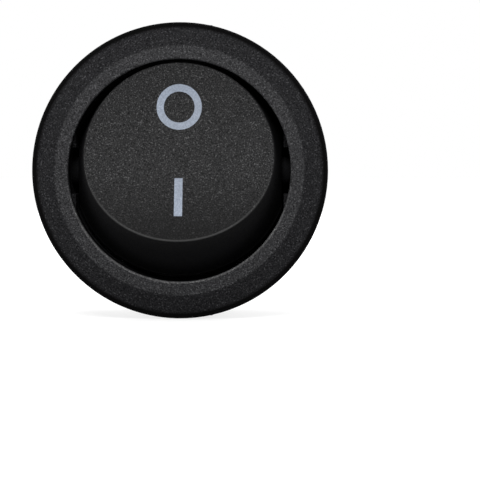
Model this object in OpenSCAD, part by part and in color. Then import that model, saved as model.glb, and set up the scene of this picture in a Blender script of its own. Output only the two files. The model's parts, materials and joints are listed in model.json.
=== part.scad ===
// Round snap-in panel rocker switch, single pole on/off, shown switched off.
// Origin: centre of the bezel's back face, which seats on the panel.
// +Y points into the panel towards the terminals, +Z towards the O end of the
// rocker, and X is the rocker's pivot axis. All sizes are in millimetres.

/* [Bezel] */
// Outside diameter of the bezel
bezel_d = 23; // [22.4:0.1:27]
// Thickness of the bezel at its outer rim
bezel_rim_t = 1.05; // [0.9:0.05:1.6]
// Diameter at which the outer slope meets the inner ring
bezel_ring_d = 19.3; // [18.4:0.1:20.4]
// Rise of the outer slope
bezel_slope_h = 1; // [0.6:0.1:1.6]
// Rise of the inner ring from the slope to the opening
bezel_ring_h = 0.3; // [0.1:0.05:0.6]
// Rounding of the rim's front edge
bezel_round = 0.35; // [0.1:0.05:0.5]

/* [Barrel] */
// Outside diameter of the barrel
barrel_d = 19.8; // [19.4:0.1:20.2]
// Length of the barrel behind the bezel
barrel_l = 14.6; // [14.2:0.1:18]
// Thickness of the barrel's round wall
barrel_wall = 1.3; // [1.2:0.05:1.5]
// Thickness of the barrel's floor
floor_t = 1.4; // [1:0.1:1.8]
// Depth of the flats beside the front of each clip
front_flat_cut = 0.8; // [0.6:0.05:0.9]
// Depth of the flats below the arm of each clip
rear_flat_cut = 1.75; // [1.6:0.05:1.8]
// Thickness of the flat rear walls
rear_wall = 0.72; // [0.6:0.02:0.8]
// Width of the keys on the barrel's sides
key_w = 2; // [1.6:0.1:3]
// Height of the keys above the barrel
key_h = 0.3; // [0.2:0.05:0.6]
// Length of the keys
key_l = 11.5; // [6:0.1:13]

/* [Clips] */
// Width of each clip
clip_w = 4.8; // [4:0.1:6]
// Thickness of a clip's arm
clip_t = 0.85; // [0.7:0.05:1.2]
// Height of a clip's crest above the barrel
clip_proud = 1.6; // [1.2:0.05:2]
// Distance of a clip's root from the back of the barrel
clip_root = 2.9; // [2:0.1:4]
// Distance of the crest's teeth from the bezel
crest_y = 2.6; // [2.2:0.1:3]
// Length of the crest
crest_l = 2.2; // [1.6:0.1:2.6]
// Number of teeth on each clip
tooth_n = 5; // [3:1:7]
// Height of each tooth
tooth_h = 0.32; // [0.2:0.02:0.36]
// Gap between a clip's tip and the bezel
tip_gap = 0.15; // [0.1:0.05:0.3]
// Depth of the relief in the bezel's back behind each clip
relief_t = 0.15; // [0.1:0.05:0.3]

/* [Rocker] */
// Angle of the rocker to each side of centre
tilt = 15.5; // [14:0.5:16.5]
// Distance of the pivot behind the bezel's back face
pivot_y = 1.45; // [1.3:0.05:1.8]
// Radius of the rocker's pivot pins
pin_r = 1.05; // [0.8:0.05:1.2]
// Radial clearance round the pivot pins
pin_gap = 0.05; // [0.02:0.01:0.1]
// Height of the face's raised ends above the pivot
face_h = 5.54; // [5.2:0.02:5.8]
// Depth of the dish in the rocker's face
dish_depth = 1.1; // [0.6:0.05:1.3]
// Draft of the rocker's side wall, in degrees
rocker_draft = 12.5; // [11:0.5:14]
// Gap between the rocker's skirt and the opening
skirt_gap = 0.18; // [0.15:0.01:0.3]
// Length of the skirt behind the pivot
skirt_h = 0.65; // [0.4:0.05:0.8]
// Wall thickness of the rocker
rocker_wall = 1.2; // [0.9:0.05:1.4]
// Outside radius of the post that guides the plunger
post_r = 1.9; // [1.7:0.05:2]
// Length of the post behind the pivot
post_l = 5.3; // [4.6:0.1:5.6]
// Outside diameter of the O symbol
ring_d = 3.5; // [2.5:0.1:4]
// Line width of the O symbol
ring_w = 0.56; // [0.4:0.02:0.7]
// Distance of the O symbol from the centre of the face
ring_z = 3.75; // [3:0.05:4.2]
// Width of the I symbol
bar_w = 0.63; // [0.4:0.01:0.9]
// Length of the I symbol
bar_l = 3.13; // [2:0.01:3.6]
// Distance of the I symbol from the centre of the face
bar_z = 3.43; // [3:0.01:4.2]
// Depth of the inlaid symbols
symbol_t = 0.1; // [0.06:0.01:0.3]

/* [Contacts] */
// Reach of the plunger's tip from the pivot
plunger_reach = 8.6; // [8.3:0.05:8.7]
// Radius of the plunger
plunger_r = 0.95; // [0.8:0.05:1.05]
// Radial clearance round the plunger
plunger_gap = 0.05; // [0.02:0.01:0.1]
// Wire diameter of the spring
spring_wire = 0.3; // [0.2:0.02:0.36]
// Number of turns of the spring
spring_turns = 7; // [5:1:9]
// Angle that the contact lever swings through
lever_swing = 14; // [10:0.5:16]
// Thickness of the contact lever
lever_t = 0.5; // [0.4:0.05:0.6]
// Width of the contact lever
lever_w = 3; // [2.7:0.1:3.4]
// Rise of the lever's wings, in degrees
wing_rise = 16; // [14:0.5:18]
// Length of each wing
wing_l = 5.9; // [5.6:0.1:6.1]
// Distance along its wing of the contact
contact_at = 4.7; // [4.3:0.1:4.9]
// Radius of the contacts
contact_r = 1.2; // [0.8:0.05:1.3]
// Gap of the closed contacts and of the lever at its rest
closed_gap = 0.04; // [0.03:0.01:0.1]

/* [Terminals] */
// Width of the terminal blades
blade_w = 4.8; // [4.4:0.1:5]
// Thickness of the terminal blades
blade_t = 0.8; // [0.7:0.05:0.8]
// Length of the blades behind the barrel
blade_l = 8.6; // [7.8:0.1:12]
// Distance between neighbouring terminals
pitch = 7; // [6.9:0.01:7.02]
// Clearance round the blades in the floor
blade_gap = 0.05; // [0.02:0.01:0.1]
// Width of each ridge beside a blade
ridge_t = 1.12; // [0.8:0.02:1.2]
// Height of the ridges
ridge_h = 1.2; // [0.6:0.1:2]

/* [Hidden] */
$fn = 96;

black = [0.16, 0.16, 0.165];
dark_grey = [0.2, 0.2, 0.2];
print_white = [0.74, 0.79, 0.85];
tin = [0.83, 0.82, 0.78];
brass = [0.78, 0.62, 0.33];
silver = [0.86, 0.86, 0.84];
steel = [0.6, 0.6, 0.62];

eps = 0.01;
bezel_t = bezel_rim_t + bezel_slope_h + bezel_ring_h;
barrel_r = barrel_d / 2;
opening_r = barrel_r - barrel_wall;
front_flat = barrel_r - front_flat_cut;
rear_flat = barrel_r - rear_flat_cut;
rear_in = rear_flat - rear_wall;
floor_y = barrel_l - floor_t;

// the rocker's outline, from the pivot out
stop_gap = 0.06;
skirt_lip = 0.06;
skirt_r = opening_r - skirt_gap;
cone_r = skirt_r - skirt_lip;
face_half = cone_r - face_h * tan(rocker_draft);
face_mid_h = face_h - dish_depth;
dish_r = (face_half * face_half + dish_depth * dish_depth) / (2 * dish_depth);
ledge_y = pivot_y + skirt_r * sin(tilt) + skirt_h * cos(tilt) + stop_gap;

// guide cheeks at the ends of the pivot
cheek_inset = 0.55;
cheek_x = opening_r - cheek_inset;
cheek_gap = 0.15;
cheek_top = 1.2;
cheek_slot = pin_r * 2 + 1.5;
cheek_end = sqrt(opening_r * opening_r - cheek_x * cheek_x) + 0.3;

// the barrel's outer step over the ledge, and its neck behind the bezel
step_y = ledge_y + 0.4;
step_l = 0.65;
neck_l = 0.5;
neck_cut = 0.18;
root_flare = 0.05;
back_chamfer = 0.25;

// the contact lever, whose seat faces the plunger
mid_gap = 0.05;
lever_flat = 0.7;
lever_half = lever_swing / 2;
seat_y = pivot_y + plunger_reach + mid_gap;
fulcrum_drop = 0.3;
fulcrum_y = seat_y - fulcrum_drop;
fulcrum_r = blade_t / 2;
saddle_gap = 0.05;
saddle_r = fulcrum_r + saddle_gap;
flange_t = 0.3;
ear_gap = 0.1;
contact_disc = 0.3;
contact_dome = 0.15;
dome_r = (contact_r * contact_r + contact_dome * contact_dome) / (2 * contact_dome);

plunger_back = 2.6;
bore_r = plunger_r + plunger_gap;
bore_top = 2;
ridge_l = blade_w + 0.6;
blade_tip = barrel_l + blade_l;
nib_back = 6.8;
neck_back = 5.4;

// A point of a wing, at a distance along it and below its upper face, as [y, z]
// from the fulcrum with the lever level
function wing_point(along, below) =
    [fulcrum_drop - along * sin(wing_rise) + below * cos(wing_rise),
     lever_flat + along * cos(wing_rise) + below * sin(wing_rise)];

// That point with its wing swung down, as [y, z] from the origin
function wing_down(p) =
    [fulcrum_y + p[0] * cos(lever_half) + p[1] * sin(lever_half),
     p[1] * cos(lever_half) - p[0] * sin(lever_half)];

moving_centre = wing_down(wing_point(contact_at, lever_t + contact_disc + contact_dome - dome_r));
fixed_z = moving_centre[1];
foot_y = moving_centre[0] + dome_r + closed_gap + contact_disc + contact_dome;
foot_z = fixed_z - contact_r - 0.2;
foot_w = blade_w - 0.8;
bend_r = blade_t + 0.2;
room_gap = 0.02;
rest_point = wing_down(wing_point(contact_at, lever_t));
wing_tip = wing_down(wing_point(wing_l, lever_t));
rest_w = 1;
rest_y = rest_point[0] + closed_gap + rest_w / 2 * tan(wing_rise - lever_half);

// ---------- shaping helpers ----------

// Turns a profile of [radius, y] about the Y axis
module turned() rotate([-90, 0, 0]) rotate_extrude() children();

// Extrudes a profile of [y, z] along X, centred
module along_x(w) rotate([90, 0, 90]) linear_extrude(w, center = true) children();

// A round bar along Y from y0 to y1
module bar_y(r, y0, y1) translate([0, y0, 0]) rotate([-90, 0, 0]) cylinder(r = r, h = y1 - y0);

// A box between two corners
module box(a, b) translate(a) cube(b - a);

function toward(a, b) = (b - a) / norm(b - a);

// A polygon whose corners are [x, y, round], rounded where they stand out
module rounded(corners) {
    n = len(corners);
    p = [for (c = corners) [c[0], c[1]]];
    before = [for (i = [0 : n - 1]) toward(p[i], p[(i + n - 1) % n])];
    after = [for (i = [0 : n - 1]) toward(p[i], p[(i + 1) % n])];
    half = [for (i = [0 : n - 1]) acos(before[i] * after[i]) / 2];
    cut = [for (i = [0 : n - 1]) corners[i][2] / tan(half[i])];
    polygon([for (i = [0 : n - 1])
        each cut[i] > 0 ? [p[i] + before[i] * cut[i], p[i] + after[i] * cut[i]] : [p[i]]]);
    for (i = [0 : n - 1])
        if (corners[i][2] > 0)
            translate(p[i] + toward([0, 0], before[i] + after[i]) * corners[i][2] / sin(half[i]))
                circle(corners[i][2]);
}

// ---------- housing ----------

module bezel() turned() rounded([
    [opening_r, 0, 0],
    [bezel_d / 2, 0, 0.12],
    [bezel_d / 2, -bezel_rim_t, bezel_round],
    [bezel_ring_d / 2, -bezel_rim_t - bezel_slope_h, 0.15],
    [opening_r, -bezel_t, 0.12]]);

// The barrel's solid outline, with flats above and below for the clips
module barrel_outline() intersection() {
    turned() polygon([
        [0, -bezel_rim_t / 2],
        [barrel_r + root_flare, -bezel_rim_t / 2],
        [barrel_r + root_flare, 0],
        [barrel_r - neck_cut, neck_l],
        [barrel_r, neck_l],
        [barrel_r, barrel_l - back_chamfer],
        [barrel_r - back_chamfer, barrel_l],
        [0, barrel_l]]);
    along_x(2 * barrel_d) union() for (side = [-1, 1]) scale([1, side]) polygon([
        [-bezel_rim_t, 0],
        [-bezel_rim_t, barrel_d],
        [0, barrel_d],
        [0, front_flat],
        [step_y, front_flat],
        [step_y + step_l, rear_flat],
        [barrel_l + 1, rear_flat],
        [barrel_l + 1, 0]]);
}

// The well for the rocker, and the flat-sided chamber behind it
module well() {
    bar_y(opening_r, -bezel_t - 1, ledge_y);
    intersection() {
        bar_y(opening_r, -bezel_t, floor_y);
        box([-barrel_d, -bezel_t, -rear_in], [barrel_d, floor_y, rear_in]);
    }
}

// Clears what lies behind each clip between two distances from the bezel's back
module clip_clearance(y0, y1) {
    w = clip_w / 2 + 0.3;
    for (side = [-1, 1]) scale([1, 1, side])
        box([-w, y0, opening_r - 0.2], [w, y1, bezel_d]);
}

// One clip in outline, as [y, z]: root block, arm, crest and toothed leg
module clip_outline() {
    root_y = barrel_l - clip_root;
    root_z = barrel_r - 0.65;
    crest_z = barrel_r + clip_proud;
    knee_y = crest_y + crest_l;
    step = (crest_y - tip_gap) / tooth_n;
    leg_z = crest_z - 0.1;
    tip_z = leg_z - tooth_n * tooth_h;
    arm = atan2(crest_z - 0.25 - root_z, knee_y - root_y);
    drop = clip_t / abs(cos(arm));
    polygon(concat(
        [[barrel_l, rear_flat - 0.3],
         [barrel_l, root_z - 0.55],
         [root_y, root_z],
         [knee_y, crest_z - 0.25],
         [knee_y - 0.35, crest_z - 0.06],
         [crest_y + crest_l / 2, crest_z],
         [crest_y + 0.1, crest_z - 0.04]],
        [for (i = [0 : tooth_n - 1]) each [
            [crest_y - i * step, leg_z - i * tooth_h],
            [crest_y - i * step, leg_z - (i + 1) * tooth_h]]],
        [[tip_gap, tip_z],
         [tip_gap, tip_z - clip_t],
         [crest_y - 1.1, tip_z - clip_t + 0.5],
         [crest_y + 0.4, crest_z - clip_t - 0.25],
         [crest_y + 1, crest_z - clip_t - 0.1],
         [knee_y, crest_z - 0.25 - drop],
         [root_y, root_z - drop],
         [root_y, rear_flat - 0.3]]));
}

module clips() for (side = [-1, 1]) scale([1, 1, side]) along_x(clip_w) clip_outline();

// The keys on the barrel's sides
module keys() for (side = [-1, 1]) scale([side, 1, 1])
    linear_extrude(key_w, center = true) polygon([
        [barrel_r - 0.5, -eps],
        [barrel_r + key_h, -eps],
        [barrel_r + key_h, key_l - key_h / 2],
        [barrel_r + key_h / 2, key_l],
        [barrel_r - 0.5, key_l]]);

// Flat cheeks inside the opening that keep the rocker central
module cheeks() intersection() {
    bar_y(opening_r + 0.3, -cheek_top, ledge_y + 0.1);
    for (side_x = [-1, 1], side_z = [-1, 1]) scale([side_x, 1, side_z])
        box([cheek_x, -cheek_top, cheek_slot / 2], [barrel_r, ledge_y + 0.1, cheek_end]);
}

// The pair of ridges beside each terminal place
module ridges() for (place = [-1, 0, 1], side = [-1, 1])
    translate([0, 0, place * pitch + side * (blade_t / 2 + blade_gap + ridge_t / 2)])
        along_x(ridge_l) rounded([
            [barrel_l - 0.3, -ridge_t / 2, 0],
            [barrel_l + ridge_h, -ridge_t / 2, 0.35],
            [barrel_l + ridge_h, ridge_t / 2, 0.35],
            [barrel_l - 0.3, ridge_t / 2, 0]]);

// The post inside that the lever's free wing rests on
module lever_rest() box(
    [-lever_w / 2, rest_y, -rest_point[1] - rest_w / 2],
    [lever_w / 2, floor_y + 0.2, -rest_point[1] + rest_w / 2]);

module blade_slots() for (place = [-1, 0, 1]) {
    w = blade_w / 2 + blade_gap;
    t = blade_t / 2 + blade_gap;
    box([-w, floor_y - 0.1, place * pitch - t], [w, barrel_l + ridge_h + 1, place * pitch + t]);
}

// Keeps the housing clear of the load terminal and of the lever's wings
module contact_room() {
    w = blade_w / 2 + room_gap;
    outer_z = pitch + blade_t / 2 + room_gap;
    box([-w, foot_y - room_gap, pitch - blade_t / 2 - room_gap], [w, floor_y - 0.05, outer_z]);
    box([-w, foot_y - room_gap, foot_z - room_gap], [w, foot_y + bend_r + room_gap, outer_z]);
    for (side = [-1, 1]) scale([1, 1, side])
        box([-lever_w / 2 - room_gap, ledge_y + 1, wing_tip[1] - lever_t],
            [lever_w / 2 + room_gap, foot_y, wing_tip[1] + room_gap]);
}

module housing() color(black) difference() {
    union() {
        difference() {
            union() {
                bezel();
                difference() {
                    barrel_outline();
                    well();
                }
            }
            clip_clearance(-relief_t, 0);
            clip_clearance(-eps, ledge_y - 0.2);
        }
        keys();
        cheeks();
        clips();
        ridges();
        lever_rest();
    }
    blade_slots();
    contact_room();
    translate([0, pivot_y, 0]) rotate([0, 90, 0])
        cylinder(r = pin_r + pin_gap, h = 2 * barrel_d, center = true);
}

// ---------- rocker ----------

// Places what is modelled about the pivot, front towards -Y, in the off position
module rocker_off() translate([0, pivot_y, 0]) rotate([-tilt, 0, 0]) children();

// The bar whose surface is the dished face, grown by a wall's thickness
module dish(grow = 0) translate([0, -face_mid_h - dish_r, 0]) rotate([0, 90, 0])
    cylinder(r = dish_r + grow, h = 3 * barrel_d, center = true, $fn = 256);

module rocker_outline() intersection() {
    turned() polygon([
        [0, -face_h - 0.3],
        [cone_r - (face_h + 0.3) * tan(rocker_draft), -face_h - 0.3],
        [cone_r, 0],
        [skirt_r, skirt_lip],
        [skirt_r, skirt_h],
        [0, skirt_h]]);
    box([-cheek_x + cheek_gap, -2 * face_h, -barrel_d], [cheek_x - cheek_gap, face_h, barrel_d]);
}

module rocker_hollow() difference() {
    turned() polygon([
        [0, -face_h],
        [cone_r - face_h * tan(rocker_draft) - rocker_wall, -face_h],
        [cone_r - rocker_wall, 0],
        [cone_r - rocker_wall, skirt_h + 1],
        [0, skirt_h + 1]]);
    dish(rocker_wall);
    bar_y(post_r, -face_h, skirt_h + 2);
    box([-barrel_r, -face_h, -0.4], [barrel_r, skirt_h - 0.3, 0.4]);
}

// The pivot pins, each with a ramp that lets it snap past the wall
module pivot_pins() {
    end_x = barrel_r - 0.5;
    for (side = [-1, 1]) scale([side, 1, 1]) difference() {
        translate([cheek_x - cheek_gap - 0.5, 0, 0]) rotate([0, 90, 0])
            cylinder(r = pin_r, h = end_x - cheek_x + cheek_gap + 0.5);
        linear_extrude(4 * pin_r, center = true) polygon([
            [end_x + eps, 0],
            [end_x + eps, 2 * pin_r],
            [end_x - pin_r * 0.8, 2 * pin_r],
            [end_x - pin_r * 0.4, pin_r]]);
    }
}

module rocker() color(dark_grey) rocker_off() difference() {
    union() {
        difference() {
            rocker_outline();
            dish();
            rocker_hollow();
        }
        bar_y(post_r, 0, post_l);
        pivot_pins();
    }
    bar_y(bore_r, -bore_top, post_l + 1);
    symbol_bed() ring_outline();
    symbol_bed() bar_outline();
}

// ---------- symbols on the face ----------

module ring_outline() translate([0, ring_z]) difference() {
    circle(d = ring_d);
    circle(d = ring_d - 2 * ring_w);
}

module bar_outline() translate([-bar_w / 2, -bar_z - bar_l / 2]) square([bar_w, bar_l]);

// The part of a flat outline that lies just below the dished face
module symbol_bed() difference() {
    rotate([90, 0, 0]) linear_extrude(face_h) children();
    dish(-eps);
    difference() {
        rotate([90, 0, 0]) translate([0, 0, -1]) linear_extrude(face_h + 2)
            square(4 * barrel_d, center = true);
        dish(symbol_t);
    }
}

module legend_off() color(print_white) rocker_off() symbol_bed() ring_outline();

module legend_on() color(print_white) rocker_off() symbol_bed() bar_outline();

// ---------- plunger and spring ----------

module plunger() color(tin) rocker_off() {
    tip = plunger_reach - plunger_r;
    bar_y(plunger_r, plunger_back, tip);
    translate([0, tip, 0]) sphere(plunger_r);
}

// Height of the spring's wire after a share of its turns, the end turns closed
function spring_y(share) =
    let (low = -bore_top + spring_wire / 2 + 0.02,
         high = plunger_back - spring_wire / 2 - 0.02,
         closed = 1 / spring_turns,
         t = (share - closed) / (1 - 2 * closed))
    t < 0 ? low + spring_wire * share / closed
    : t > 1 ? high - spring_wire * (1 - share) / closed
    : low + spring_wire + (high - low - 2 * spring_wire) * t;

module spring() {
    sides = 8;
    steps = 16 * spring_turns;
    coil_r = bore_r - 0.1 - spring_wire / 2;
    rings = [for (i = [0 : steps], k = [0 : sides - 1])
        let (a = i * 360 / 16,
             b = k * 360 / sides,
             r = coil_r + spring_wire / 2 * cos(b),
             y = spring_y(i / steps) + spring_wire / 2 * sin(b))
        [r * cos(a), y, r * sin(a)]];
    walls = [for (i = [0 : steps - 1], k = [0 : sides - 1])
        let (j = (k + 1) % sides)
        [i * sides + k, i * sides + j, (i + 1) * sides + j, (i + 1) * sides + k]];
    ends = [[for (k = [0 : sides - 1]) sides - 1 - k],
            [for (k = [0 : sides - 1]) steps * sides + k]];
    color(steel) rocker_off() polyhedron(rings, concat(walls, ends));
}

// ---------- contact lever ----------

// Places what is modelled about the fulcrum with the lever level, in the off position
module lever_off() translate([0, fulcrum_y, 0]) rotate([lever_half, 0, 0]) children();

// The lever's strip in outline, as [y, z]: a short flat with a rising wing each side
module strip_outline() {
    top = wing_point(wing_l, 0);
    bottom = wing_point(wing_l, lever_t);
    knee = lever_t * tan(wing_rise / 2);
    polygon([
        [fulcrum_drop, lever_flat], top, bottom,
        [fulcrum_drop + lever_t, lever_flat + knee],
        [fulcrum_drop + lever_t, -lever_flat - knee],
        [bottom[0], -bottom[1]], [top[0], -top[1]],
        [fulcrum_drop, -lever_flat]]);
}

// A half ring that straddles the terminal's round ear
module saddle_outline() difference() {
    circle(saddle_r + lever_t);
    circle(saddle_r);
    translate([0, -2]) square([2, 4]);
}

module contact_lever() color(brass) lever_off() {
    flange_x = (lever_w - flange_t) / 2;
    tab_w = blade_w / 2 - lever_w / 2;
    along_x(lever_w) strip_outline();
    for (side = [-1, 1]) scale([side, 1, 1]) {
        translate([flange_x, 0, 0]) along_x(flange_t) polygon([
            [-saddle_r - lever_t, -0.9],
            [-saddle_r - lever_t, 0.9],
            [fulcrum_drop + lever_t / 2, 1.5],
            [fulcrum_drop + lever_t / 2, -1.5]]);
        translate([lever_w / 2 + tab_w / 2 - eps, 0, 0]) along_x(tab_w) saddle_outline();
    }
}

// A domed rivet head that stands on y = 0 and points towards +Y
module contact_head() turned() intersection() {
    square([contact_r, contact_disc + contact_dome]);
    translate([0, contact_disc + contact_dome - dome_r]) circle(dome_r, $fn = 256);
}

module moving_contact() color(silver) lever_off() {
    seat = wing_point(contact_at, lever_t);
    translate([0, seat[0], seat[1]]) rotate([wing_rise, 0, 0]) contact_head();
}

module fixed_contact() color(silver)
    translate([0, foot_y, fixed_z]) scale([1, -1, 1]) contact_head();

// ---------- terminals ----------

// The blade in plan, as [x, y], from inner_y to its tip
module blade_plan(inner_y) {
    w = blade_w / 2;
    neck = w - 0.4;
    nib_y = blade_tip - nib_back;
    neck_y = blade_tip - neck_back;
    edge = [
        [w, inner_y], [w, barrel_l], [neck, barrel_l + 0.4], [neck, nib_y], [w, nib_y],
        [w, nib_y + 0.8], [neck, nib_y + 0.8], [neck, neck_y - 0.3], [w, neck_y],
        [w, blade_tip - 1.1], [w - 0.9, blade_tip]];
    difference() {
        polygon(concat(edge, [for (i = [len(edge) - 1 : -1 : 0]) [-edge[i][0], edge[i][1]]]));
        for (end = [-0.4, 0.4]) translate([0, blade_tip - 3.3 + end]) circle(0.75);
        translate([-0.75, blade_tip - 3.7]) square([1.5, 0.8]);
    }
}

// The blade's edge in outline, as [y, z], bevelled at its tip
module blade_edge(inner_y) polygon([
    [inner_y, -blade_t / 2],
    [blade_tip - 1, -blade_t / 2],
    [blade_tip, -blade_t / 5],
    [blade_tip, blade_t / 5],
    [blade_tip - 1, blade_t / 2],
    [inner_y, blade_t / 2]]);

module common_terminal() color(tin) intersection() {
    fork_w = lever_w + 2 * ear_gap;
    linear_extrude(blade_t, center = true) difference() {
        blade_plan(fulcrum_y - fulcrum_r);
        translate([-fork_w / 2, 0]) square([fork_w, seat_y + lever_t + 0.7]);
    }
    along_x(2 * blade_w) union() {
        blade_edge(fulcrum_y);
        translate([fulcrum_y, 0]) circle(fulcrum_r);
    }
}

// A quarter of the bend between the load terminal's blade and its foot, as [y, z]
module bend_outline() intersection() {
    difference() {
        circle(bend_r);
        circle(bend_r - blade_t);
    }
    translate([-bend_r, 0]) square(bend_r);
}

module load_terminal() color(tin) {
    bend_y = foot_y + bend_r;
    bend_z = pitch + blade_t / 2 - bend_r;
    translate([0, 0, pitch]) intersection() {
        linear_extrude(blade_t, center = true) blade_plan(bend_y);
        along_x(2 * blade_w) blade_edge(bend_y);
    }
    along_x(foot_w) {
        translate([bend_y, bend_z]) bend_outline();
        translate([foot_y, foot_z]) square([blade_t, bend_z - foot_z]);
    }
}

housing();
rocker();
legend_off();
legend_on();
plunger();
spring();
contact_lever();
moving_contact();
common_terminal();
load_terminal();
fixed_contact();
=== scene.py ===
import json
import math

import bmesh
import bpy
from mathutils import Matrix, Vector


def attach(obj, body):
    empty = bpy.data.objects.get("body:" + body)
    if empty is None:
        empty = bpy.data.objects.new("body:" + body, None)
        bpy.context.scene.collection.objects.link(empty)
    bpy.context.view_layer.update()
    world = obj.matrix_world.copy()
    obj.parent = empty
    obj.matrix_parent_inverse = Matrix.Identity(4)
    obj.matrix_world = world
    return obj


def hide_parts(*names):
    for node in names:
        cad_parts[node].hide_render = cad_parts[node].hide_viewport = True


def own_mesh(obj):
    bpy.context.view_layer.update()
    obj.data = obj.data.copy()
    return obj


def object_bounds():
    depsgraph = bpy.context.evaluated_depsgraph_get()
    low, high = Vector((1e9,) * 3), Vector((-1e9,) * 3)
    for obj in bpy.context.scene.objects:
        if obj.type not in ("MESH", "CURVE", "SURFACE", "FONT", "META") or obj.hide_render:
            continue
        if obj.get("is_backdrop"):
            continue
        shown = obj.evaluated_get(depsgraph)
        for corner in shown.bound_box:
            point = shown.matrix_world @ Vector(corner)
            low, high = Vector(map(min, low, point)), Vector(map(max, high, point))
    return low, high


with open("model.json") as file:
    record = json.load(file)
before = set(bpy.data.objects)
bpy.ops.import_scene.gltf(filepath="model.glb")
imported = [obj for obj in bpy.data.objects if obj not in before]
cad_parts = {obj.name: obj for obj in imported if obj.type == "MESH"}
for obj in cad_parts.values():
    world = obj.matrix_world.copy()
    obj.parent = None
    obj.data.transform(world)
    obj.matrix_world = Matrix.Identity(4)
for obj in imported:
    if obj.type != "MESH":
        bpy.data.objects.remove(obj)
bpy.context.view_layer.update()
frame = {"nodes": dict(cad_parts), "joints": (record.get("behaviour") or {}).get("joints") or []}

# Finishes and studio for a round panel rocker switch. Everything is in metres,
# with +Y into the panel, +Z towards the O and X along the rocker's pins.
MM = 0.001


def joint(name):
    return next(j for j in frame["joints"] if j["name"] == name)


# the bezel, from its rim to the ring round the opening, and the barrel behind it
RIM_RADIUS = max(v.co.x for v in frame["nodes"]["housing"].data.vertices)
RIM_FRONT = -1.05 * MM
RING_FRONT = -2.35 * MM
RING_RADIUS = 9.65 * MM
OPENING_RADIUS = 8.6 * MM
KEY_HALF_WIDTH = 1.0 * MM
KEY_END = 11.5 * MM
LINE_HALF_WIDTH = 0.07 * MM
LINE_EDGE = 0.13 * MM

# The rocker rests at one end of its swing. Its side wall is a cone, all over
# which the radius less the depth times the draft's tangent is the same.
ROCKER_PIVOT = Vector(joint("rocker")["pos_m"])
ROCKER_TILT = math.radians(joint("rocker")["range_deg"][1] / 2)
ROCKER_DRAFT = math.radians(12.5)
ROCKER_CONE = OPENING_RADIUS - 0.24 * MM
DISH_FLOOR = -4.44 * MM
LEVEL_ROCKER = Matrix.Rotation(ROCKER_TILT, 3, "X")


def on_level_rocker(point):
    """A point as it lies on the rocker when its face is level."""
    return LEVEL_ROCKER @ (point - ROCKER_PIVOT)


# ---------- camera ----------

def place_camera():
    """A long lens in front of the bezel, a touch to its right."""
    lens_distance = 200 * MM
    turned = math.radians(2.4)
    picture_width = 37.32 * MM
    rim_outline = Vector((0, -0.7 * MM, 0))
    aim_beside = Vector((4.66 * MM, 0, -5.40 * MM))
    data = bpy.data.cameras.new("front_camera")
    data.lens = data.sensor_width * lens_distance / picture_width
    data.clip_start = 10 * MM
    data.clip_end = 20
    camera = bpy.data.objects.new("front_camera", data)
    towards = Vector((math.sin(turned), -math.cos(turned), 0))
    camera.location = rim_outline + lens_distance * towards
    aim = rim_outline + aim_beside - camera.location
    camera.rotation_mode = "QUATERNION"
    camera.rotation_quaternion = aim.to_track_quat("-Z", "Y")
    bpy.context.scene.collection.objects.link(camera)
    bpy.context.scene.camera = camera


place_camera()


# ---------- shader helpers ----------

def feed(tree, socket, value):
    """Links a socket to another, or sets its plain value."""
    if isinstance(value, bpy.types.NodeSocket):
        tree.links.new(value, socket)
    else:
        socket.default_value = value


def add(tree, kind, inputs=None, **settings):
    """A node of a kind, with its settings and its input values or links."""
    node = tree.nodes.new(kind)
    for key, value in settings.items():
        setattr(node, key, value)
    for key, value in (inputs or {}).items():
        feed(tree, node.inputs[key], value)
    return node


def new_material(name):
    """An empty node material, and its tree."""
    material = bpy.data.materials.new(name)
    material.use_nodes = True
    material.node_tree.nodes.clear()
    return material, material.node_tree


def new_group(name, inputs, outputs):
    """An empty shader node group with named sockets, and its two end nodes."""
    group = bpy.data.node_groups.new(name, "ShaderNodeTree")
    for label, kind, value in inputs:
        socket = group.interface.new_socket(name=label, in_out="INPUT", socket_type=kind)
        if value is not None:
            socket.default_value = value
    for label in outputs:
        group.interface.new_socket(name=label, in_out="OUTPUT", socket_type="NodeSocketFloat")
    return group, add(group, "NodeGroupInput").outputs, add(group, "NodeGroupOutput").inputs


def ramp(tree, value, low, high):
    """0 at one limit, 1 at the other and even between them; either may be larger."""
    return add(tree, "ShaderNodeMapRange",
               {"Value": value, "From Min": low, "From Max": high}).outputs["Result"]


def maths(tree, operation, *values):
    """The result of a sum on values or links."""
    return add(tree, "ShaderNodeMath", dict(enumerate(values)), operation=operation).outputs[0]


def scaled(tree, value, share, start):
    """A share of a value, on top of a start."""
    return maths(tree, "MULTIPLY_ADD", value, share, start)


def product(tree, first, *others):
    """Masks multiplied together, which is where they overlap."""
    for other in others:
        first = maths(tree, "MULTIPLY", first, other)
    return first


def overlap(tree, *fades):
    """Where several fades meet. A fade is a value, the place where it is absent
    and the place where it is full."""
    return product(tree, *(ramp(tree, *fade) for fade in fades))


def line_at(tree, value, place):
    """A thin line where a value passes a place."""
    off_line = maths(tree, "ABSOLUTE", maths(tree, "SUBTRACT", value, place))
    return ramp(tree, off_line, LINE_EDGE, LINE_HALF_WIDTH)


def blend_colour(tree, factor, first, second):
    return add(tree, "ShaderNodeMix", {0: factor, 6: first, 7: second},
               data_type="RGBA").outputs[2]


def object_place(tree):
    return add(tree, "ShaderNodeTexCoord").outputs["Object"]


def noise(tree, place, scale, detail, roughness=0.5):
    return add(tree, "ShaderNodeTexNoise", {
        "Vector": place, "Scale": scale, "Detail": detail, "Roughness": roughness}).outputs["Fac"]


def split_place(tree, place):
    spot = add(tree, "ShaderNodeSeparateXYZ", {0: place}).outputs
    return spot["X"], spot["Y"], spot["Z"]


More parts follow.
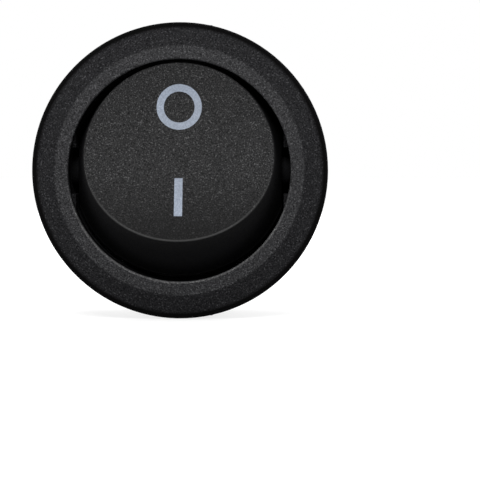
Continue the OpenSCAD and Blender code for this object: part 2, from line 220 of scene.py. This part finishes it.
def radius_about_y(tree, across, up):
    flat = add(tree, "ShaderNodeCombineXYZ", {"X": across, "Z": up})
    return add(tree, "ShaderNodeVectorMath", {0: flat.outputs[0]},
               operation="LENGTH").outputs["Value"]


def close(tree, shader):
    add(tree, "ShaderNodeOutputMaterial", {"Surface": shader.outputs[0]})


def close_surface(tree, colour, roughness, bump, **constants):
    """Ends a material with its shader. A bump is a height, strength and depth."""
    height, strength, depth = bump
    relief = add(tree, "ShaderNodeBump",
                 {"Height": height, "Strength": strength, "Distance": depth})
    surface = {"Base Color": colour, "Roughness": roughness, "Normal": relief.outputs["Normal"]}
    for key, value in constants.items():
        surface[key.replace("_", " ")] = value
    close(tree, add(tree, "ShaderNodeBsdfPrincipled", surface))


# ---------- effects that several finishes share ----------

def spark_grain_group():
    """The even, pitted skin that a spark-eroded mould leaves on plastic."""
    group, given, result = new_group(
        "spark_grain",
        [("Place", "NodeSocketVector", None), ("Grain per metre", "NodeSocketFloat", 5000.0)],
        ["Height", "Mottle", "Sparkle", "Cloud"])
    place, grain = given["Place"], given["Grain per metre"]
    pits = add(group, "ShaderNodeTexVoronoi",
               {"Vector": place, "Scale": grain, "Smoothness": 0.5}, feature="SMOOTH_F1")
    skin = noise(group, place, grain, 3.0, 0.7)
    elsewhere = add(group, "ShaderNodeVectorMath", {0: place, 1: (0.37, 0.11, 0.73)},
                    operation="ADD").outputs[0]
    glints = noise(group, elsewhere, grain, 1.0)
    cloud = noise(group, place, 380.0, 3.0)
    for name, value in (("Height", scaled(group, pits.outputs["Distance"], 0.5, skin)),
                        ("Mottle", ramp(group, skin, 0.34, 0.68)),
                        ("Sparkle", ramp(group, glints, 0.58, 0.74)),
                        ("Cloud", ramp(group, cloud, 0.35, 0.65))):
        feed(group, result[name], value)
    return group


def rolled_sheet_group():
    """Fine rolling lines and small dull patches of stamped strip."""
    group, given, result = new_group(
        "rolled_sheet",
        [("Place", "NodeSocketVector", None), ("Line stretch", "NodeSocketFloat", 14.0)],
        ["Lines", "Patches", "Specks"])
    place, across = given["Place"], given["Line stretch"]
    stretch = add(group, "ShaderNodeCombineXYZ", {"X": across, "Y": 1.0, "Z": across})
    along = add(group, "ShaderNodeVectorMath", {0: place, 1: stretch.outputs[0]},
                operation="MULTIPLY").outputs[0]
    patches = noise(group, place, 520.0, 3.0)
    specks = noise(group, place, 5200.0, 2.0)
    for name, value in (("Lines", noise(group, along, 900.0, 4.0)),
                        ("Patches", ramp(group, patches, 0.35, 0.7)),
                        ("Specks", ramp(group, specks, 0.6, 0.8))):
        feed(group, result[name], value)
    return group


SPARK_GRAIN = spark_grain_group()
ROLLED_SHEET = rolled_sheet_group()


def grained_skin(tree, place, grain):
    return add(tree, "ShaderNodeGroup", {"Place": place, "Grain per metre": grain},
               node_tree=SPARK_GRAIN).outputs


# ---------- zones of the two mouldings ----------

# what each zone lays over the plain skin: its colour, its change of roughness
# and its strength
# painted sheen: the inner ring's colour is lightened, flecked with the grain
RING_PAINTED_SHEEN = (0.104, 0.104, 0.108), 0.0, 1.0
# painted shade: near black inside the opening, where shade falls, and rougher
OPENING_PAINTED_SHADE = (0.001, 0.001, 0.001), 0.4, 1.0
# painted highlight: the opening's upward-facing lower lip is lightened
LIP_PAINTED_HIGHLIGHT = (0.20, 0.20, 0.20), -0.1, 1.0
# painted shade: the rim's outer edge near black in place of its reflection; its extra roughness
# is real
RIM_EDGE_PAINTED_SHADE = (0.002, 0.002, 0.002), 0.4, 1.0
SMOOTH_BARREL = (0.034, 0.034, 0.037), -0.02, 0.6
# painted shade: a dark line round each key, as the shadow at its edge
KEY_EDGE_PAINTED_SHADE = (0.004, 0.004, 0.004), 0.2, 0.8
# painted shade: the face darker towards its lower end; slightly rougher too
LOWER_FACE_PAINTED_SHADE = (0.008, 0.008, 0.008), 0.05, 0.8
# painted shade: the face a little darker towards its upper end
UPPER_FACE_PAINTED_SHADE = (0.008, 0.008, 0.008), 0.05, 0.18
# painted shade: the rocker's side wall and what lies behind its face, and rougher
WALL_PAINTED_SHADE = (0.0048, 0.0048, 0.0052), 0.3, 1.0
# painted highlight: the face's rounded edge lightened, mostly along its lower part
FACE_EDGE_PAINTED_HIGHLIGHT = (0.15, 0.15, 0.15), -0.05, 0.3


def blend_zone(tree, mask, look, zone):
    """Lays a zone over a look, which is a colour and a roughness."""
    tone, rough = look
    colour, extra_roughness, strength = zone
    mask = product(tree, mask, strength)
    return (blend_colour(tree, mask, tone, (*colour, 1)),
            scaled(tree, mask, extra_roughness, rough))


def key_edge_painted_shade(tree, aside, depth, height):
    """Painted shade as a thin line round the key on each side of the barrel."""
    past_key, past_line = 0.1 * MM, 0.2 * MM
    sides = product(tree, line_at(tree, height, KEY_HALF_WIDTH + LINE_HALF_WIDTH),
                    ramp(tree, depth, KEY_END + past_line, KEY_END + past_key))
    end = product(tree, line_at(tree, depth, KEY_END + LINE_HALF_WIDTH),
                  ramp(tree, height, KEY_HALF_WIDTH + past_line, KEY_HALF_WIDTH + past_key))
    on_barrel_side = overlap(tree, (aside, 9.5 * MM, 9.6 * MM), (depth, 0.0, 0.1 * MM))
    return product(tree, maths(tree, "MAXIMUM", sides, end), on_barrel_side)


def housing_zones(tree, place, fleck, look):
    """The bezel's inner ring gets a painted sheen, lighter and flecked with the grain,
    and its rim's edge painted shade and more roughness. The opening gets painted
    shade inside and a painted highlight on its lower lip, and the barrel is
    smoother, with painted shade as a line round its keys."""
    across, depth, up = split_place(tree, place)
    radius = radius_about_y(tree, across, up)

    ring_soft = 0.07 * MM
    ring = overlap(tree, (depth, RIM_FRONT - 0.15 * MM, RIM_FRONT - 0.65 * MM),
                   (radius, RING_RADIUS + ring_soft, RING_RADIUS - ring_soft))
    # painted sheen on the inner ring, flecked with the grain
    ring_painted_sheen = product(tree, ring, scaled(tree, fleck, 0.9, 0.06))
    look = blend_zone(tree, ring_painted_sheen, look, RING_PAINTED_SHEEN)

    # painted shade inside the opening
    opening = overlap(tree, (radius, OPENING_RADIUS + 0.25 * MM, OPENING_RADIUS + 0.1 * MM),
                      (depth, 6.0 * MM, 3.0 * MM),
                      (depth, RING_FRONT + 0.65 * MM, RING_FRONT + 1.55 * MM))
    look = blend_zone(tree, opening, look, OPENING_PAINTED_SHADE)

    # painted highlight along the opening's lower lip, flecked with the grain
    lower_lip = overlap(tree, (radius, OPENING_RADIUS + 0.18 * MM, OPENING_RADIUS + 0.08 * MM),
                        (depth, RING_FRONT + 0.45 * MM, RING_FRONT + 0.2 * MM),
                        (up, -1.0 * MM, -4.0 * MM))
    lip_painted_highlight = product(tree, lower_lip, scaled(tree, fleck, 1.2, 0.1))
    look = blend_zone(tree, lip_painted_highlight, look, LIP_PAINTED_HIGHLIGHT)

    # painted shade on the rim's outer edge
    rim_edge = overlap(tree, (radius, RIM_RADIUS - 0.58 * MM, RIM_RADIUS - 0.32 * MM),
                       (depth, RIM_FRONT + 0.5 * MM, RIM_FRONT + 0.35 * MM))
    look = blend_zone(tree, rim_edge, look, RIM_EDGE_PAINTED_SHADE)

    barrel = ramp(tree, depth, -0.1 * MM, 0.1 * MM)
    look = blend_zone(tree, barrel, look, SMOOTH_BARREL)

    aside, height = maths(tree, "ABSOLUTE", across), maths(tree, "ABSOLUTE", up)
    # painted shade round the keys
    return blend_zone(tree, key_edge_painted_shade(tree, aside, depth, height), look, KEY_EDGE_PAINTED_SHADE)


def rocker_zones(tree, place, fleck, look):
    """The rocker's face has painted shade towards its ends, a little rougher too,
    and a painted highlight along its lower edge. Its side wall has painted shade
    and is smoother, but not the ends of its pins."""
    level = add(tree, "ShaderNodeMapping", {
        "Vector": place, "Location": on_level_rocker(Vector()),
        "Rotation": (ROCKER_TILT, 0, 0)}).outputs[0]
    across, depth, up = split_place(tree, level)
    aside = maths(tree, "ABSOLUTE", across)
    cone = scaled(tree, depth, -math.tan(ROCKER_DRAFT), radius_about_y(tree, across, up))

    # painted shade towards both ends of the face
    look = blend_zone(tree, ramp(tree, up, -1.5 * MM, -7.0 * MM), look, LOWER_FACE_PAINTED_SHADE)
    look = blend_zone(tree, ramp(tree, up, 2.0 * MM, 7.0 * MM), look, UPPER_FACE_PAINTED_SHADE)

    # painted shade on the side wall and behind the face, strongest further in and towards the
    # sides
    behind_face = ramp(tree, depth, DISH_FLOOR + 0.09 * MM, DISH_FLOOR + 0.24 * MM)
    on_cone = ramp(tree, cone, ROCKER_CONE - 0.1 * MM, ROCKER_CONE - 0.02 * MM)
    wall = product(tree, maths(tree, "MAXIMUM", on_cone, behind_face),
                   ramp(tree, aside, 9.2 * MM, 9.0 * MM))
    full_shade = maths(tree, "MAXIMUM", ramp(tree, depth, -5.5 * MM, -3.6 * MM),
                       ramp(tree, aside, 2.0 * MM, 6.0 * MM))
    least_shade = 0.69
    shaded_wall = product(tree, wall, scaled(tree, full_shade, 1 - least_shade, least_shade))
    look = blend_zone(tree, shaded_wall, look, WALL_PAINTED_SHADE)

    # painted highlight on the face's rounded lower edge
    edge = overlap(tree, (cone, ROCKER_CONE - 0.2 * MM, ROCKER_CONE - 0.12 * MM),
                   (cone, ROCKER_CONE - 0.01 * MM, ROCKER_CONE - 0.08 * MM))
    face_edge = maths(tree, "MAXIMUM", maths(tree, "SUBTRACT", edge, behind_face), 0.0)
    face_edge_painted_highlight = product(tree, face_edge, ramp(tree, up, -0.5 * MM, -6.0 * MM))
    return blend_zone(tree, face_edge_painted_highlight, look, FACE_EDGE_PAINTED_HIGHLIGHT)


# ---------- finishes ----------

def moulded_black(name, dark, light, grain, pit_depth, zones):
    """Matt black plastic with a spark-eroded skin, and its piece's own zones."""
    dullness, sheen = 0.52, 0.03
    material, tree = new_material(name)
    place = object_place(tree)
    skin = grained_skin(tree, place, grain)
    fleck = scaled(tree, skin["Mottle"], 0.35, product(tree, skin["Sparkle"], 0.65))
    look = (blend_colour(tree, fleck, (*dark, 1), (*light, 1)),
            scaled(tree, fleck, -0.18, scaled(tree, skin["Cloud"], 0.05, dullness)))
    tone, rough = zones(tree, place, fleck, look)
    close_surface(tree, tone, rough, (skin["Height"], 1.0, pit_depth), Specular_IOR_Level=sheen)
    return material


def acetal():
    """Milky natural acetal of the spring plunger, faintly clouded."""
    material, tree = new_material("plunger_acetal")
    skin = grained_skin(tree, object_place(tree), 3000.0)
    straw, milk = (0.66, 0.64, 0.58, 1), (0.78, 0.77, 0.72, 1)
    tone = blend_colour(tree, skin["Cloud"], straw, milk)
    close_surface(tree, tone, scaled(tree, skin["Mottle"], 0.12, 0.32),
                  (skin["Height"], 0.3, 0.01 * MM))
    return material


def printed_symbol():
    """Pad-printed ink, a cool off-white that is thin on the peaks of the grain."""
    material, tree = new_material("symbol_ink")
    skin = grained_skin(tree, object_place(tree), 8000.0)
    light_coat, full_coat = (0.24, 0.28, 0.35, 1), (0.31, 0.36, 0.45, 1)
    worn_thin = (0.13, 0.155, 0.20, 1)
    ink = blend_colour(tree, skin["Cloud"], light_coat, full_coat)
    tone = blend_colour(tree, product(tree, skin["Mottle"], 0.8), ink, worn_thin)
    close_surface(tree, tone, 0.55, (skin["Height"], 0.4, 0.02 * MM))
    return material


def with_bare_cut_edges(tree, place, tone):
    """Adds the brass that shows on the cut edges of a terminal's neck."""
    across, depth, _ = split_place(tree, place)
    neck_side = maths(tree, "ABSOLUTE", across), 1.90 * MM, 1.96 * MM
    neck_start = depth, 15.2 * MM, 15.35 * MM
    neck_end = depth, 16.3 * MM, 16.1 * MM
    bare_brass = (0.27, 0.20, 0.11, 1)
    return blend_colour(tree, overlap(tree, neck_side, neck_start, neck_end), tone, bare_brass)


def strip_metal(name, clean, dull, smooth, rough, cut_edges=False):
    """Stamped strip with rolling lines, dull patches and small specks."""
    material, tree = new_material(name)
    place = object_place(tree)
    sheet = add(tree, "ShaderNodeGroup", {"Place": place}, node_tree=ROLLED_SHEET).outputs
    streaks = product(tree, ramp(tree, sheet["Lines"], 0.5, 0.72), 0.7)
    worn = scaled(tree, sheet["Patches"], 0.5, product(tree, sheet["Specks"], 0.4))
    tone = blend_colour(tree, maths(tree, "MAXIMUM", worn, streaks), (*clean, 1), (*dull, 1))
    if cut_edges:
        tone = with_bare_cut_edges(tree, place, tone)
    close_surface(tree, tone, scaled(tree, sheet["Patches"], rough - smooth, smooth),
                  (sheet["Lines"], 0.6, 0.01 * MM), Metallic=1.0)
    return material


HOUSING_PLASTIC = moulded_black(
    "housing_plastic", dark=(0.002, 0.002, 0.0025), light=(0.070, 0.070, 0.074),
    grain=8000.0, pit_depth=0.05 * MM, zones=housing_zones)
ROCKER_PLASTIC = moulded_black(
    "rocker_plastic", dark=(0.005, 0.005, 0.0053), light=(0.125, 0.125, 0.127),
    grain=9000.0, pit_depth=0.045 * MM, zones=rocker_zones)
SYMBOL_INK = printed_symbol()
ACETAL = acetal()
TIN_PLATE = strip_metal(
    "tin_plate", clean=(0.56, 0.55, 0.53), dull=(0.27, 0.26, 0.245),
    smooth=0.26, rough=0.44, cut_edges=True)
LEVER_BRASS = strip_metal(
    "lever_brass", clean=(0.52, 0.38, 0.18), dull=(0.38, 0.27, 0.13), smooth=0.28, rough=0.48)
CONTACT_SILVER = strip_metal(
    "contact_silver", clean=(0.70, 0.69, 0.67), dull=(0.50, 0.49, 0.47), smooth=0.20, rough=0.38)
SPRING_STEEL = strip_metal(
    "spring_steel", clean=(0.58, 0.58, 0.60), dull=(0.42, 0.42, 0.44), smooth=0.28, rough=0.42)

for node, finish in {
        "housing": HOUSING_PLASTIC, "rocker": ROCKER_PLASTIC,
        "legend_off": SYMBOL_INK, "legend_on": SYMBOL_INK,
        "plunger": ACETAL, "spring": SPRING_STEEL, "contact_lever": LEVER_BRASS,
        "moving_contact": CONTACT_SILVER, "common_terminal": TIN_PLATE,
        "load_terminal": TIN_PLATE, "fixed_contact": CONTACT_SILVER}.items():
    slots = frame["nodes"][node].data.materials
    slots.clear()
    slots.append(finish)


# ---------- pieces refined from the solids ----------

def merged_copy(node):
    """A CAD node's mesh in a new bmesh, with its doubled vertices joined."""
    shape = bmesh.new()
    shape.from_mesh(frame["nodes"][node].data)
    bmesh.ops.remove_doubles(shape, verts=shape.verts, dist=0.0001 * MM)
    return shape


def is_sharp(edge, degrees=30):
    return len(edge.link_faces) == 2 and edge.calc_face_angle(0) > math.radians(degrees)


def stand_in(shape, name, node, body, material, smooth_below):
    """Turns a refined bmesh into the shown piece that stands for a CAD node, with
    its edges smooth below an angle in degrees."""
    bmesh.ops.recalc_face_normals(shape, faces=shape.faces)
    for face in shape.faces:
        face.smooth = True
    for edge in shape.edges:
        edge.smooth = not is_sharp(edge, smooth_below)
    mesh = bpy.data.meshes.new(name)
    shape.to_mesh(mesh)
    shape.free()
    mesh.materials.append(material)
    piece = bpy.data.objects.new(name, mesh)
    bpy.context.scene.collection.objects.link(piece)
    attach(piece, body)
    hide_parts(node)
    return piece


def rocker_face_piece():
    """The rocker with the soft radius round its dished face."""
    rim_width, rim_steps = 0.2 * MM, 4
    front_of_rim, inside_of_rim = DISH_FLOOR + 0.14 * MM, 6.9 * MM
    shape = merged_copy("rocker")

    def on_rim(vertex):
        p = on_level_rocker(vertex.co)
        return p.y < front_of_rim and math.hypot(p.x, p.z) > inside_of_rim

    rim = [e for e in shape.edges if is_sharp(e) and all(on_rim(v) for v in e.verts)]
    bmesh.ops.bevel(shape, geom=rim, offset=rim_width, offset_type="OFFSET",
                    segments=rim_steps, profile=0.5, affect="EDGES", clamp_overlap=False,
                    material=-1)
    stand_in(shape, "rocker_with_soft_rim", "rocker", "rocker", ROCKER_PLASTIC,
             smooth_below=30)


def pressed_spring_piece():
    """The plunger's spring, as a piece with a mesh of its own. The real spring shortens as the
    plunger is pushed in.
    """
    shape = merged_copy("spring")
    piece = stand_in(shape, "pressed_spring", "spring", "rocker", SPRING_STEEL,
                     smooth_below=50)
    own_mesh(piece)


rocker_face_piece()
pressed_spring_piece()


# ---------- studio ----------

def white_to_rays(tree):
    """1 for a ray from the camera, a reflection or glass, and 0 for other light."""
    path = add(tree, "ShaderNodeLightPath").outputs
    return maths(tree, "MAXIMUM", path["Is Camera Ray"], maths(
        tree, "MAXIMUM", path["Is Glossy Ray"], path["Is Transmission Ray"]))


def pale_floor():
    """A wide floor just below the switch, which fades to white away from it."""
    half_size, gap_below = 3.0, 0.05 * MM
    board_grey, glow_by_switch = 0.36, 0.75
    near, far = 30 * MM, 110 * MM
    mesh = bpy.data.meshes.new("floor")
    shape = bmesh.new()
    bmesh.ops.create_grid(shape, x_segments=1, y_segments=1, size=half_size)
    bmesh.ops.translate(shape, verts=shape.verts, vec=(0, 0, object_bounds()[0].z - gap_below))
    shape.to_mesh(mesh)
    shape.free()
    floor = bpy.data.objects.new("floor", mesh)
    bpy.context.scene.collection.objects.link(floor)
    material, tree = new_material("pale_floor")
    board = add(tree, "ShaderNodeBsdfDiffuse", {
        "Color": (board_grey, board_grey, board_grey, 1)})
    away = add(tree, "ShaderNodeVectorMath", {0: object_place(tree)}, operation="LENGTH")
    bright = scaled(tree, ramp(tree, away.outputs["Value"], near, far),
                    1 - glow_by_switch, glow_by_switch)
    glow = add(tree, "ShaderNodeEmission", {
        "Color": (1, 1, 1, 1), "Strength": product(tree, white_to_rays(tree), bright)})
    close(tree, add(tree, "ShaderNodeAddShader", {0: board.outputs[0], 1: glow.outputs[0]}))
    mesh.materials.append(material)
    floor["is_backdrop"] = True


def studio_world():
    """White where it is seen, and a faint fill light otherwise."""
    fill = 0.12
    world = bpy.data.worlds.new("studio")
    world.use_nodes = True
    tree = world.node_tree
    tree.nodes.clear()
    back = add(tree, "ShaderNodeBackground", {
        "Color": (1, 1, 1, 1), "Strength": scaled(tree, white_to_rays(tree), 1 - fill, fill)})
    add(tree, "ShaderNodeOutputWorld", {"Surface": back.outputs[0]})
    bpy.context.scene.world = world


def softbox(name, place, size, power):
    """A round soft lamp that faces the switch."""
    data = bpy.data.lights.new(name, "AREA")
    data.shape = "DISK"
    data.size = size
    data.energy = power
    lamp = bpy.data.objects.new(name, data)
    lamp.location = place
    lamp.rotation_mode = "QUATERNION"
    lamp.rotation_quaternion = (-Vector(place)).to_track_quat("-Z", "Y")
    bpy.context.scene.collection.objects.link(lamp)


pale_floor()
studio_world()
softbox("front_softbox", place=(-0.02, -0.38, 0.22), size=0.16, power=1.7)
softbox("top_softbox", place=(0.05, 0.12, 0.42), size=0.50, power=0.9)
softbox("right_softbox", place=(0.36, 0.20, 0.18), size=0.50, power=1.6)
softbox("left_softbox", place=(-0.36, 0.20, 0.18), size=0.50, power=1.6)
softbox("back_softbox", place=(0.08, 0.42, 0.18), size=0.50, power=1.2)

bpy.context.scene.view_settings.view_transform = "Standard"
